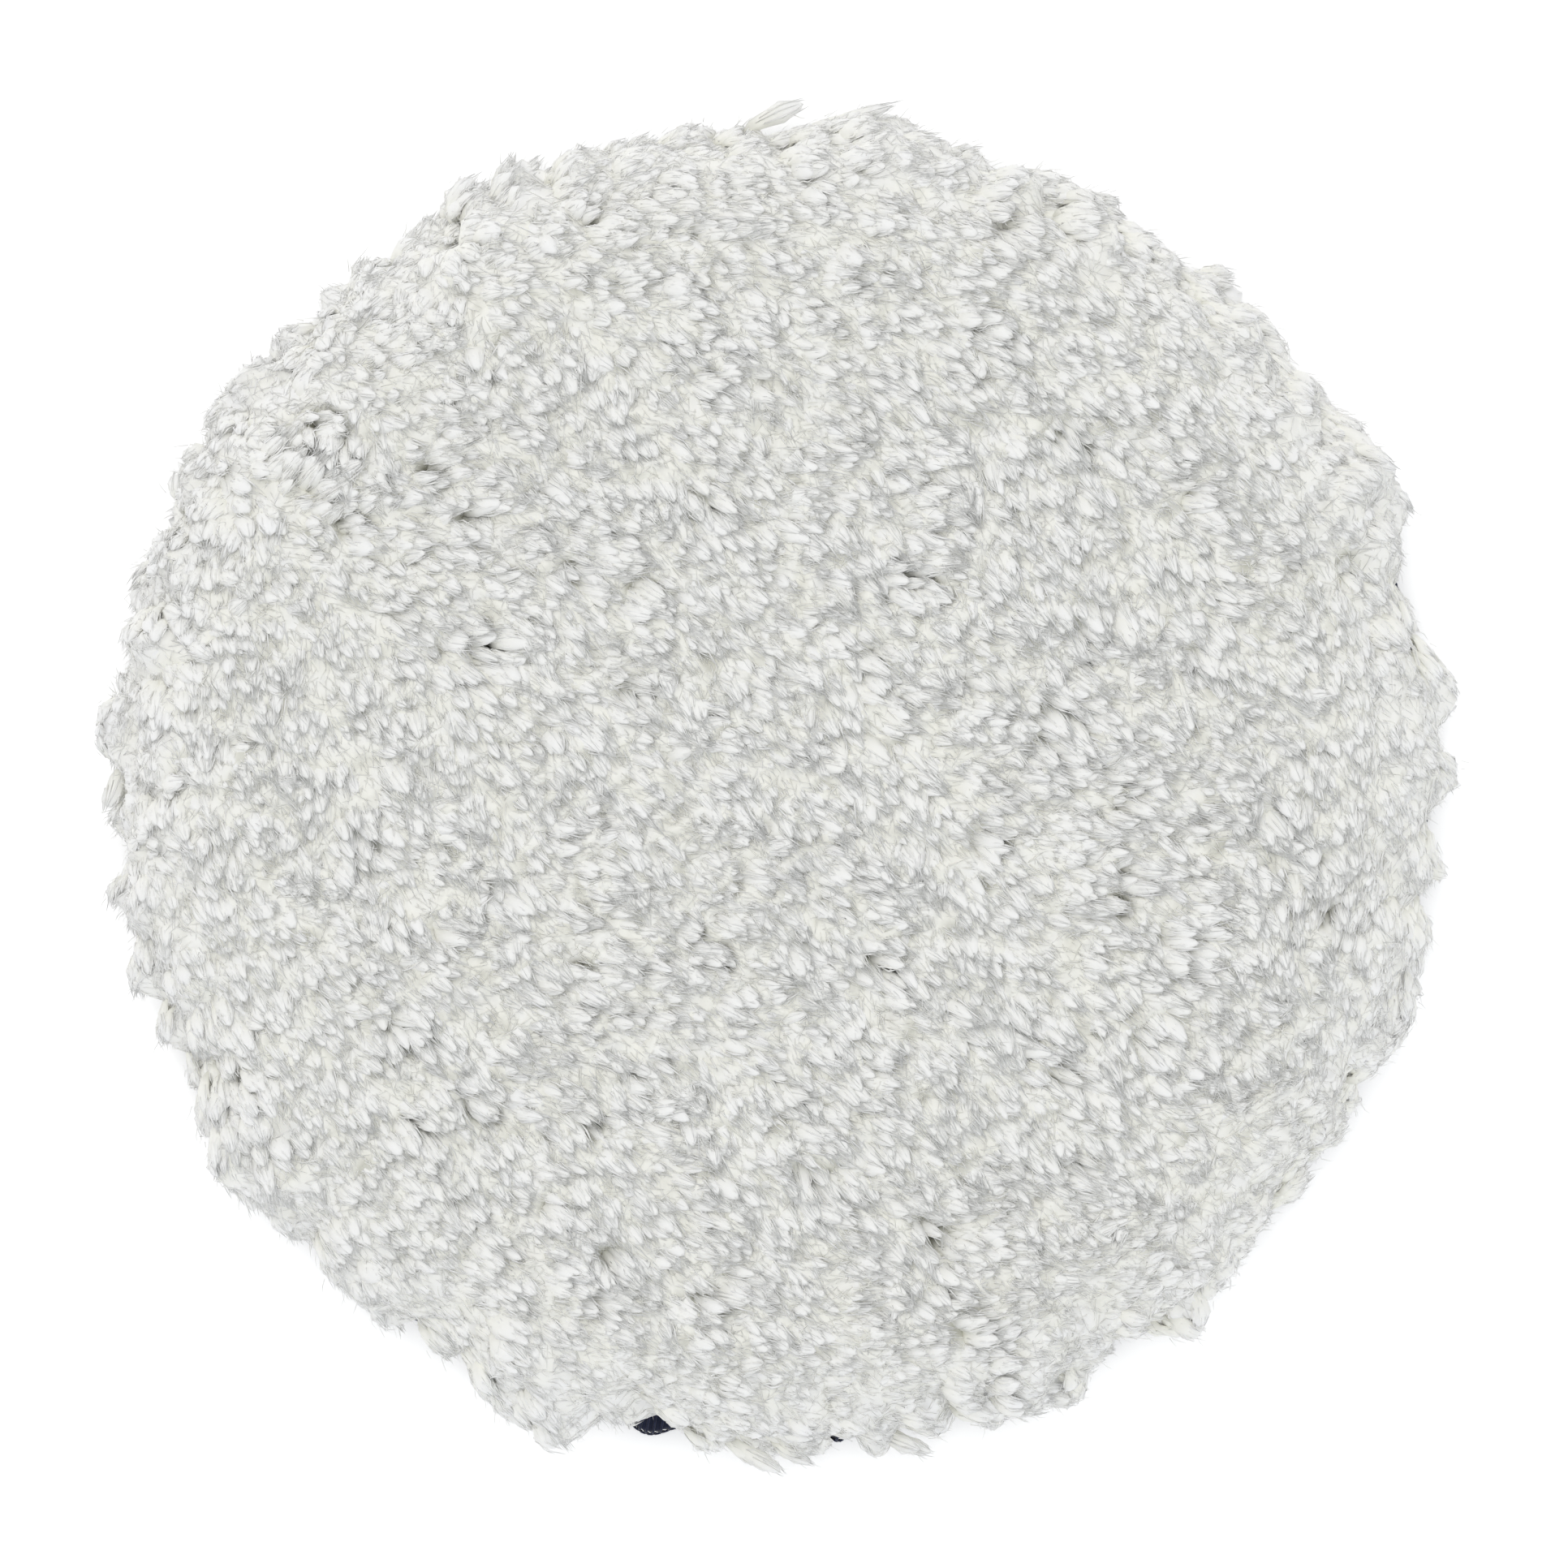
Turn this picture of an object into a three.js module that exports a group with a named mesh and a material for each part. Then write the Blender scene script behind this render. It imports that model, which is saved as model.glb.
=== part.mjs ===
// A round tufted polishing pad with a hook-and-loop back, as a stack of separate layers.
// Millimetres, +Z up. The pad lies on its loop side with the pile up, and the origin is the
// centre of the loop face. Each layer keeps a small gap to the next.
import * as THREE from "three";

// Driving dimensions.
const BACKING_RADIUS = 79; // the hook-and-loop disc, for a 150 mm backing plate
const PILE_RADIUS = 84; // over the tufts at the rim
const PILE_HEIGHT = 11; // tuft length above the carrier cloth
const FOAM_THICKNESS = 8;
const CLOTH_THICKNESS = 0.9; // carrier cloth
const COAT_THICKNESS = 0.5; // latex on the back of the carrier cloth
const FILM_THICKNESS = 0.3; // hot-melt adhesive web
const BASE_THICKNESS = 0.7; // knitted base of the loop cloth
const NAP_THICKNESS = 2; // brushed loops
const GAP = 0.3; // between neighbouring layers

// Details of the edge and its stitching.
const CLOTH_SHOULDER = 6; // radius of the carrier cloth's turn over the foam's edge
const SKIRT_INSET = 0.5; // from the backing's rim in to the carrier cloth's skirt
const FILM_INSET = 5; // the flat film stops where the foam's shoulder begins to fall
const NAP_CHAMFER = 0.5; // the loops lean in at the rim of the backing
const BINDING_THICKNESS = 1.4;
const BINDING_BOTTOM = 0.8;
const BINDING_TOP = 4.2;
const STITCH_RADIUS = 74; // where the lock stitch runs round the backing
const THREAD_RADIUS = 0.35;
const GROOVE_WIDTH = 1.5;
const GROOVE_DEPTH = 1.4; // how far the stitch draws the nap in
const PILE_CROWN = 0.8; // the middle of the face stands this much above its round edge
const PILE_EDGE_ROUND = 10;
const PILE_LOWER_ROUND = 2.6;
const PILE_DROOP = 1.6; // how near the floor the rim's tufts hang, outside the binding

// Fineness of the round surfaces.
const SEGMENTS = 60;
const ARC_STEPS = 4;
const EDGE_ARC_STEPS = 6; // the pile's large round edge
const THREAD_SIDES = 6;

// The stack, from the floor up.
const baseBottom = NAP_THICKNESS + GAP;
const skirtHem = baseBottom + BASE_THICKNESS + GAP;
const lowerFilmBottom = skirtHem;
const foamBottom = lowerFilmBottom + FILM_THICKNESS + GAP;
const foamTop = foamBottom + FOAM_THICKNESS;
const upperFilmBottom = foamTop + GAP;
const coatTop = upperFilmBottom + FILM_THICKNESS + GAP + COAT_THICKNESS;
const clothTop = coatTop + GAP + CLOTH_THICKNESS;
const pileTop = clothTop + GAP + PILE_HEIGHT;

// The nested walls at the edge, from the outside in.
const clothRadius = BACKING_RADIUS - SKIRT_INSET;
const coatRadius = clothRadius - CLOTH_THICKNESS - GAP;
const foamRadius = coatRadius - COAT_THICKNESS - GAP;
const bindingInnerRadius = BACKING_RADIUS + GAP;
const bindingOuterRadius = bindingInnerRadius + BINDING_THICKNESS;

// Points on an arc in the outline's plane. 0 degrees points outward and 90 degrees points up.
function arc(centreR, centreZ, radius, fromDegrees, toDegrees, steps = ARC_STEPS) {
  const points = [];
  for (let i = 0; i <= steps; i += 1) {
    const angle = THREE.MathUtils.degToRad(fromDegrees + ((toDegrees - fromDegrees) * i) / steps);
    points.push([centreR + radius * Math.cos(angle), centreZ + radius * Math.sin(angle)]);
  }
  return points;
}

// Turns a closed or axis-to-axis outline of [radius, height] points about the Z axis. The outline
// runs with the material on its left.
function turned(outline) {
  const points = outline.map(([radius, height]) => new THREE.Vector2(Math.max(radius, 0), height));
  return new THREE.LatheGeometry(points, SEGMENTS).rotateX(Math.PI / 2);
}

function disc(radius, bottom, thickness) {
  return turned([
    [0, bottom],
    [radius, bottom],
    [radius, bottom + thickness],
    [0, bottom + thickness],
  ]);
}

// A cloth or coat that lies flat on top, turns over a rounded shoulder and hangs down as a skirt.
function wrappedLayer(outerRadius, top, thickness, shoulder, hem) {
  const centreR = outerRadius - shoulder;
  const centreZ = top - shoulder;
  const underside = arc(centreR, centreZ, shoulder - thickness, 90, 0);
  const outside = arc(centreR, centreZ, shoulder, 0, 90);
  return turned([
    [0, top - thickness],
    ...underside,
    [outerRadius - thickness, hem],
    [outerRadius, hem],
    ...outside,
    [0, top],
  ]);
}

// The loops, with the groove that the lock stitch draws into them.
function loopNapGeometry() {
  return turned([
    [0, 0],
    [STITCH_RADIUS - GROOVE_WIDTH / 2, 0],
    [STITCH_RADIUS - GROOVE_WIDTH / 2, GROOVE_DEPTH],
    [STITCH_RADIUS + GROOVE_WIDTH / 2, GROOVE_DEPTH],
    [STITCH_RADIUS + GROOVE_WIDTH / 2, 0],
    [BACKING_RADIUS - NAP_CHAMFER, 0],
    [BACKING_RADIUS, NAP_CHAMFER],
    [BACKING_RADIUS, NAP_THICKNESS],
    [0, NAP_THICKNESS],
  ]);
}

function lockStitchGeometry() {
  const height = GROOVE_DEPTH - GAP - THREAD_RADIUS;
  const ring = new THREE.TorusGeometry(STITCH_RADIUS, THREAD_RADIUS, THREAD_SIDES, SEGMENTS);
  return ring.translate(0, 0, height);
}

// The foam's upper edge is rounded to carry the turned-down cloth.
function foamGeometry() {
  const shoulder = CLOTH_SHOULDER - CLOTH_THICKNESS - COAT_THICKNESS - 2 * GAP;
  return turned([
    [0, foamBottom],
    [foamRadius, foamBottom],
    ...arc(foamRadius - shoulder, foamTop - shoulder, shoulder, 0, 90),
    [0, foamTop],
  ]);
}

// Overlock stitching, a rounded band round the raw edges of the backing and the skirt.
function edgeBindingGeometry() {
  const round = BINDING_THICKNESS / 2;
  const centreR = bindingInnerRadius + round;
  return turned([
    [bindingInnerRadius, BINDING_BOTTOM + round],
    ...arc(centreR, BINDING_BOTTOM + round, round, 180, 360).slice(1),
    ...arc(centreR, BINDING_TOP - round, round, 0, 180),
    [bindingInnerRadius, BINDING_BOTTOM + round],
  ]);
}

// The working face: a low crown, and a full round edge that spreads past the backing and droops
// outside the binding.
function pileGeometry() {
  const innerShoulder = CLOTH_SHOULDER + GAP;
  const innerRadius = clothRadius + GAP;
  const innerTop = clothTop + GAP;
  const aboveBinding = BINDING_TOP + 2 * GAP;
  const besideBinding = bindingOuterRadius + GAP;
  const lowerCentre = PILE_DROOP + PILE_LOWER_ROUND;
  const edgeTop = pileTop - PILE_CROWN;
  return turned([
    [0, innerTop],
    ...arc(innerRadius - innerShoulder, innerTop - innerShoulder, innerShoulder, 90, 0),
    [innerRadius, aboveBinding],
    [besideBinding, aboveBinding],
    [besideBinding, PILE_DROOP],
    ...arc(PILE_RADIUS - PILE_LOWER_ROUND, lowerCentre, PILE_LOWER_ROUND, 270, 360),
    ...arc(
      PILE_RADIUS - PILE_EDGE_ROUND,
      edgeTop - PILE_EDGE_ROUND,
      PILE_EDGE_ROUND,
      0,
      90,
      EDGE_ARC_STEPS,
    ),
    [PILE_RADIUS / 2, pileTop - PILE_CROWN / 4],
    [0, pileTop],
  ]);
}

const whiteYarn = { color: 0xe6e7e4, roughness: 0.95, metalness: 0 };
const groundCloth = { color: 0xdcddd9, roughness: 0.9, metalness: 0 };
const latex = { color: 0xd9d6c8, roughness: 0.6, metalness: 0 };
const hotMelt = { color: 0xc9cbc8, roughness: 0.45, metalness: 0 };
const foam = { color: 0xd5d7d6, roughness: 0.95, metalness: 0 };
const navyCloth = { color: 0x232a45, roughness: 0.9, metalness: 0 };
const navyThread = { color: 0x1c2238, roughness: 0.75, metalness: 0 };

const pad = new THREE.Group();

function place(name, geometry, look) {
  const mesh = new THREE.Mesh(geometry, new THREE.MeshStandardMaterial(look));
  mesh.name = name;
  pad.add(mesh);
}

place("loop_nap", loopNapGeometry(), navyCloth);
place("lock_stitch", lockStitchGeometry(), navyThread);
place("loop_base_cloth", disc(BACKING_RADIUS, baseBottom, BASE_THICKNESS), navyCloth);
place("lower_adhesive_film", disc(foamRadius, lowerFilmBottom, FILM_THICKNESS), hotMelt);
place("foam_cushion", foamGeometry(), foam);
place("upper_adhesive_film", disc(foamRadius - FILM_INSET, upperFilmBottom, FILM_THICKNESS), hotMelt);
place(
  "latex_back_coat",
  wrappedLayer(coatRadius, coatTop, COAT_THICKNESS, CLOTH_SHOULDER - CLOTH_THICKNESS - GAP, skirtHem),
  latex,
);
place(
  "carrier_cloth",
  wrappedLayer(clothRadius, clothTop, CLOTH_THICKNESS, CLOTH_SHOULDER, skirtHem),
  groundCloth,
);
place("edge_binding", edgeBindingGeometry(), navyThread);
place("pile", pileGeometry(), whiteYarn);

export default pad;
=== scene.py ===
"""A round tufted polishing pad on a pale floor, pile up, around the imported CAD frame.

Metres, +Z up. The pile is over ten thousand separate yarn tufts rooted in the carrier cloth and
combed one way, with fine fibres standing off them. The backing has brushed loops, an overlocked
edge and a row of lock stitches.
"""

import math

import bpy
import numpy as np
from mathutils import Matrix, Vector


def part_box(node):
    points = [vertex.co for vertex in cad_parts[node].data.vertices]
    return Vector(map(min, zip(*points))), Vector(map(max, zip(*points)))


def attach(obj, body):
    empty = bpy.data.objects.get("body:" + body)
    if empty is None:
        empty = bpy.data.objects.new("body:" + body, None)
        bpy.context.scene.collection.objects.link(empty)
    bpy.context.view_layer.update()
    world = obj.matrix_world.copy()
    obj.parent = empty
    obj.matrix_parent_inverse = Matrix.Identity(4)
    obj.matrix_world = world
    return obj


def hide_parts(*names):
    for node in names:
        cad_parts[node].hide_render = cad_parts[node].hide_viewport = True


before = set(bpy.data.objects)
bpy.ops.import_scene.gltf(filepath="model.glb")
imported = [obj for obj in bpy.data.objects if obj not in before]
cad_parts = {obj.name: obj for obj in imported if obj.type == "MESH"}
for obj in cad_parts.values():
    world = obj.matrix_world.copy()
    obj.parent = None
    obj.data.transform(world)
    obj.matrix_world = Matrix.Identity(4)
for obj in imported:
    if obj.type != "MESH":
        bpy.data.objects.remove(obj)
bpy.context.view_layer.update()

MM = 0.001
TAU = 2 * math.pi

# ---- sizes from the frame
cloth_low, cloth_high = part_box("carrier_cloth")
pile_low, pile_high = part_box("pile")
foam_low, foam_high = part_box("foam_cushion")
base_low, base_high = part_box("loop_base_cloth")
nap_low, nap_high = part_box("loop_nap")
binding_low, binding_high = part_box("edge_binding")
stitch_low, stitch_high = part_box("lock_stitch")
CLOTH_RADIUS = cloth_high[0]
CLOTH_TOP = cloth_high[2]
PILE_RADIUS = pile_high[0]
PILE_HEIGHT = pile_high[2] - CLOTH_TOP
PILE_FLOOR = pile_low[2]  # the lowest that the pile hangs
CLOTH_SHOULDER = 6 * MM  # radius of the cloth's turn over the foam's edge
FLAT_RADIUS = CLOTH_RADIUS - CLOTH_SHOULDER

# ---- the pile
NAP_HEADING = math.radians(-36)  # the way the pile is combed, from +X
NAP_SHIFT = 6.2 * MM  # how far a tip lies from its root
TUFT_SPACING = 1.55 * MM
TUFT_WIDTH = 2.1 * MM
TIP_HEIGHT = PILE_HEIGHT - 0.9 * MM  # of a tip's middle over the cloth, on the flat face
TIP_LEAN = math.radians(70)  # of a tip from the cloth's normal
TIP_SPREAD = 3.1 * MM  # how far the rim's tips stand past the pile's mean height there
RIM_HEIGHT = PILE_RADIUS - CLOTH_RADIUS - TIP_SPREAD
CLUMP_SPACING = 6.5 * MM
FUZZ_SPACING = 0.85 * MM
STRAYS_PER_TUFT = 3
SECTORS = {"tufts": 7, "yarn_ends": 9, "stray_fibres": 4, "lying_fibres": 4}  # pieces of each kind
FLOOR_GAP = 0.4 * MM

# The pile is laid out on its outer face: flat in the middle, then turning down round the shoulder.
OUTER_TURN = CLOTH_SHOULDER + RIM_HEIGHT
TURN_LENGTH = OUTER_TURN * math.pi / 2
REACH = FLAT_RADIUS + TURN_LENGTH + 4 * MM

# ---- the layers under the pile
CLOTH_THICKNESS = 0.9 * MM
CLOTH_TURN = CLOTH_SHOULDER * math.pi / 2  # the length of cloth that goes round the shoulder
SKIRT = CLOTH_TOP - CLOTH_SHOULDER - cloth_low[2]  # the length that hangs below the shoulder
CARRIER_REACH = FLAT_RADIUS + CLOTH_TURN + SKIRT  # the flat disc's radius
FOAM_SHOULDER = 4 * MM
NAP_MATTED = 0.95 * MM  # how far the loops' matted part stays above the floor
LOOP_SPACING = 1.25 * MM
STITCH_GROOVE = 1.4 * MM  # height of the groove's roof
STITCH_RADIUS = (stitch_high[0] * 2 - (stitch_high[2] - stitch_low[2])) / 2
STITCH_LENGTH = 3 * MM
BINDING_RADIUS = binding_high[0] - 0.7 * MM  # to the middle of the band
BINDING_MIDDLE = (binding_low[2] + binding_high[2]) / 2
BINDING_STRAIGHT = (binding_high[2] - binding_low[2]) / 2 - 0.7 * MM
BINDING_TURNS = 560
BINDING_THREAD = 0.16 * MM  # radius

# ---- colours
# Low tone turns the yarn towards the first colour, an olive: painted shade where the tone falls
# towards the roots, in the gaps and at the partings, and random tone elsewhere.
YARN_SHADE = (0.955, 0.949, 0.885)
YARN_LIGHT = (0.965, 0.965, 0.974)
# Painted shade: a dark olive for the deepest yarn.
YARN_DEPTH_SHADE = (0.34, 0.335, 0.25)
FOAM_PORE_SHADE = (0.42, 0.425, 0.41)
FOAM_LIGHT = (0.72, 0.725, 0.715)
LATEX_THIN = (0.60, 0.59, 0.53)
LATEX_THICK = (0.74, 0.71, 0.61)
FILM_MILKY = (0.55, 0.56, 0.55)
FILM_STRAND = (0.76, 0.77, 0.76)
CLOTH_SHADE, CLOTH_LIGHT = (0.62, 0.625, 0.60), (0.80, 0.80, 0.78)
KNIT_SHADE, KNIT_LIGHT = (0.010, 0.014, 0.036), (0.026, 0.034, 0.080)
FELT_SHADE, FELT_LIGHT = (0.010, 0.014, 0.038), (0.040, 0.052, 0.115)
THREAD_SHADE, THREAD_LIGHT = (0.008, 0.011, 0.030), (0.032, 0.042, 0.095)

# Where the pile parts and shows its depth: x and y in mm. The pile is sunk there, and the yarn there
# is painted darker as painted shade.
PARTINGS = [
    (26, 54), (-45, -30), (12, -22), (24, -66), (4, -48), (-56, 37),
    (-35, 16), (-69, -36), (48, -20), (-8, 32), (34, 8), (-20, -58),
]

CRACKS = 55  # smaller partings, scattered over the face
CRACK_REACH = 74 * MM  # how far from the middle they lie
PARTING_SIZE = 1.8  # in mm, like the places above

# Bald spots at the rim, where the overlocked edge has worked out and shows: heading from +X and
# half width in degrees, and how far the edge has come out in mm.
BALD_SPOTS = [(-101.6, 2.3, 2.1), (169.0, 1.2, 1.3), (-85.0, 1.1, 1.6), (-73.5, 0.8, 1.2)]

# Tufts that have come loose at the rim: root x and y, tip x and y, tip height and width, in mm.
LOOSE_TUFTS = [
    (-7.5, -78.1, 0.2, -84.6, 13.0, 1.9),
    (-8.5, -78.0, -1.4, -84.0, 12.0, 1.8),
    (-2.5, -78.5, 3.9, -83.8, 11.0, 1.7),
    (12.0, -77.7, 18.6, -82.3, 12.0, 1.8),
    (11.0, -77.7, 17.2, -81.8, 13.0, 2.0),
    (2.0, 78.5, 14.0, 83.2, 15.0, 1.5),
    (-6.0, 78.3, 3.0, 83.6, 14.0, 2.4),
    (-78.4, 4.0, -82.9, -3.0, 13.0, 2.4),
]


def smooth_noise(x, y, wavelength, seed, waves=16):
    """A smooth random field with a spread of 1 and bumps about a wavelength apart."""
    rng = np.random.default_rng(seed)
    turn = rng.uniform(0, TAU, waves)
    pitch = TAU / (wavelength * rng.uniform(0.7, 1.4, waves))
    shift = rng.uniform(0, TAU, waves)
    total = np.zeros_like(x)
    for a, k, s in zip(turn, pitch, shift):
        total += np.cos(k * (x * math.cos(a) + y * math.sin(a)) + s)
    return total * math.sqrt(2 / waves)


def jittered_grid(spacing, radius, jitter, seed):
    """Points of a shaken hexagonal grid inside a circle, as an array of (x, y)."""
    rng = np.random.default_rng(seed)
    rows = int(radius / (spacing * math.sqrt(3) / 2)) + 2
    columns = int(radius / spacing) + 2
    row, column = np.mgrid[-rows : rows + 1, -columns : columns + 1]
    x = (column + 0.5 * (row % 2)) * spacing
    y = row * spacing * math.sqrt(3) / 2
    points = np.stack([x.ravel(), y.ravel()], axis=1)
    points += rng.uniform(-jitter, jitter, points.shape) * spacing
    return points[np.hypot(points[:, 0], points[:, 1]) < radius]


def unit(v):
    return v / np.maximum(np.linalg.norm(v, axis=-1, keepdims=True), 1e-12)


def ramp(value, start, end):
    """0 before start, 1 after end, smooth between."""
    t = np.clip((value - start) / (end - start), 0, 1)
    return t * t * (3 - 2 * t)


def turn_over(flat, flat_radius, shoulder, turn, top):
    """A flat disc's points laid on top, round a shoulder and down a wall, and the normals there.
    turn is the radius that the disc's own surface turns at, outside the shoulder."""
    distance = np.hypot(flat[:, 0], flat[:, 1])
    theta = np.arctan2(flat[:, 1], flat[:, 0])
    bend = np.clip((distance - flat_radius) / turn, 0, math.pi / 2)
    fall = np.maximum(distance - flat_radius - turn * math.pi / 2, 0)
    radius = np.minimum(distance, flat_radius) + shoulder * np.sin(bend)
    height = top - shoulder * (1 - np.cos(bend)) - fall
    cos, sin = np.cos(theta), np.sin(theta)
    position = np.stack([radius * cos, radius * sin, height], axis=1)
    normal = np.stack([np.sin(bend) * cos, np.sin(bend) * sin, np.cos(bend)], axis=1)
    return position, normal


def wrap(flat):
    """The places on the cloth under points of the pile's unrolled outer face, and its normals."""
    return turn_over(flat, FLAT_RADIUS, CLOTH_SHOULDER, OUTER_TURN, CLOTH_TOP)


def baldness(x, y):
    """1 in the middle of the rim's bald spots and 0 away from them, and how far the edge is out."""
    heading = np.degrees(np.arctan2(y, x))
    bald, out = np.zeros_like(heading), np.zeros_like(heading)
    for middle, half, slack in BALD_SPOTS:
        off = (heading - middle + 180) % 360 - 180
        near = np.exp(-((off / half) ** 2))
        bald, out = np.maximum(bald, near), np.maximum(out, near * slack * MM)
    return bald, out


def partings():
    """Where the pile parts: places and sizes, with the small cracks among them."""
    rng = np.random.default_rng(16)
    turn = rng.uniform(0, TAU, CRACKS)
    far = CRACK_REACH * np.sqrt(rng.uniform(0, 1, CRACKS))
    size = rng.uniform(1.0, 1.5, CRACKS) * MM
    cracks = np.stack([far * np.cos(turn), far * np.sin(turn), size], axis=1)
    chosen = np.array([(x, y, PARTING_SIZE) for x, y in PARTINGS]) * MM
    return np.concatenate([chosen, cracks])


def parted(flat):
    """1 at the partings and 0 away from them. They are longer along the nap."""
    along = np.array([math.cos(NAP_HEADING), math.sin(NAP_HEADING)])
    total = np.zeros(len(flat))
    for x, y, size in partings():
        off = flat - np.array([x, y])
        run = off @ along
        cross = off @ np.array([-along[1], along[0]])
        total = np.maximum(total, np.exp(-((run / (1.5 * size)) ** 2) - (cross / size) ** 2))
    return total


def pile_surface(flat):
    """How high the pile stands over the cloth at points of the flat cloth."""
    distance = np.hypot(flat[:, 0], flat[:, 1])
    edge = ramp(distance, FLAT_RADIUS - 6 * MM, FLAT_RADIUS + 0.75 * TURN_LENGTH)
    height = TIP_HEIGHT + (RIM_HEIGHT - TIP_HEIGHT) * edge
    x, y = flat[:, 0], flat[:, 1]
    height = height + 0.22 * MM * smooth_noise(x, y, 24 * MM, 31)
    round_the_edge = flat * (PILE_RADIUS / np.maximum(distance, 1 * MM))[:, None]
    height = height + edge * 1.45 * MM * smooth_noise(*round_the_edge.T, 26 * MM, 32)
    height = height + edge * 1.3 * MM * smooth_noise(x, y, 8 * MM, 33)
    height = height - edge * 3.2 * MM * baldness(x, y)[0]
    return np.maximum(height, 0.4 * MM), edge


def packed_height(flat):
    """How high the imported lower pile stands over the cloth, between the tufts' tips."""
    x, y = flat[:, 0], flat[:, 1]
    height, edge = pile_surface(flat)
    lumps = 0.30 * MM * smooth_noise(x, y, 2.6 * MM, 41) + 0.28 * MM * smooth_noise(x, y, 4.5 * MM, 42)
    packed = height * (0.915 - 0.015 * edge) + lumps * (1 - 0.3 * edge) - 5.5 * MM * parted(flat)
    return np.maximum(packed, 0.6 * MM), edge


def weighted(points, weights):
    """The sum of each curve's points by a list of weights, one array for each point."""
    weights = np.stack(weights, axis=-1)
    return np.matmul(np.broadcast_to(weights, (len(points), *weights.shape[1:])), points)


def bezier(points, t):
    """Points of each cubic (strands, 4, 3) at its own t, (strands, rings) or (1, rings)."""
    s = 1 - t
    return weighted(points, [s**3, 3 * s**2 * t, 3 * s * t**2, t**3])


def bezier_slope(points, t):
    s = 1 - t
    return unit(weighted(np.diff(points, axis=1), [3 * s**2, 6 * s * t, 3 * t**2]))


def above_floor(places):
    """Presses places that would sink into the floor flat against it."""
    depth = 1.0 * MM
    z = places[..., 2] - FLOOR_GAP
    places[..., 2] = FLOOR_GAP + np.where(z > depth, z, depth * np.exp(np.minimum(z / depth - 1, 0)))
    return places


def mesh_from(vertices, loops, sizes):
    """A smooth-shaded mesh from vertex places, corner indices and the corners of each face."""
    mesh = bpy.data.meshes.new("mesh")
    mesh.vertices.add(len(vertices))
    mesh.vertices.foreach_set("co", vertices.astype(np.float32).ravel())
    mesh.loops.add(len(loops))
    mesh.loops.foreach_set("vertex_index", loops.astype(np.int32))
    mesh.polygons.add(len(sizes))
    starts = np.concatenate([[0], np.cumsum(sizes)[:-1]])
    mesh.polygons.foreach_set("loop_start", starts.astype(np.int32))
    mesh.polygons.foreach_set("use_smooth", np.ones(len(sizes), bool))
    mesh.update(calc_edges=True)
    mesh.validate()
    return mesh


def add_attribute(mesh, label, values):
    attribute = mesh.attributes.new(label, "FLOAT", "POINT")
    attribute.data.foreach_set("value", values.astype(np.float32))


BAKE_TILES = 32  # along each side of a strand piece's texture


def add_texture_places(mesh, places):
    """The OFBake texture layer, for baking the patterns into. places is (vertices, 2)."""
    layer = mesh.uv_layers.new(name="OFBake")
    corner = np.empty(len(mesh.loops), np.int32)
    mesh.loops.foreach_get("vertex_index", corner)
    layer.data.foreach_set("uv", places[corner].astype(np.float32).ravel())


def tiled_places(tone, along, around):
    """A texture place for each point of each strand. A strand has one small tile, and strands of
    nearly the same tone share it. along and around, from 0 to 1, are (points of a strand,)."""
    rank = np.argsort(np.argsort(tone))
    tile = rank * BAKE_TILES**2 // len(tone)
    row, column = tile // BAKE_TILES, tile % BAKE_TILES
    column = np.where(row % 2 == 1, BAKE_TILES - 1 - column, column)
    u = (column[:, None] + 0.2 + 0.6 * along[None]) / BAKE_TILES
    v = (row[:, None] + 0.2 + 0.6 * around[None]) / BAKE_TILES
    return np.stack([u, v], axis=-1).reshape(-1, 2)


def strands_mesh(rings, tips, tone, depth_shade):
    """One mesh of closed strands. rings is (strands, rings, sides, 3) and tips (strands, 3). The last
    argument is what each ring's tone adds to its strand's: painted shade, lower towards the root."""
    count, ring_count, sides, _ = rings.shape
    body = ring_count * sides
    vertices = above_floor(np.concatenate([rings.reshape(count, body, 3), tips[:, None]], axis=1))
    side = np.arange(sides)
    following = (side + 1) % sides
    faces = [list(side[::-1])]
    for ring in range(ring_count - 1):
        low, high = ring * sides, (ring + 1) * sides
        for a, b in zip(side, following):
            faces.append([low + a, low + b, high + b, high + a])
    last = (ring_count - 1) * sides
    for a, b in zip(side, following):
        faces.append([last + a, last + b, body])
    sizes = np.tile([len(f) for f in faces], count)
    corners = np.concatenate(faces)
    loops = (corners[None] + np.arange(count)[:, None] * (body + 1)).ravel()
    mesh = mesh_from(vertices.reshape(-1, 3), loops, sizes)
    # Painted shade: each ring's tone drops towards the strand's root.
    by_point = tone[:, None] + np.append(np.repeat(depth_shade, sides), 0.0)
    add_attribute(mesh, "tone", by_point.ravel())
    along = np.append(np.repeat(np.arange(ring_count) / ring_count, sides), 1.0)
    around = np.append(np.tile(np.arange(sides) / (sides - 1), ring_count), 0.5)
    add_texture_places(mesh, tiled_places(tone, along, around))
    return mesh


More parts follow.
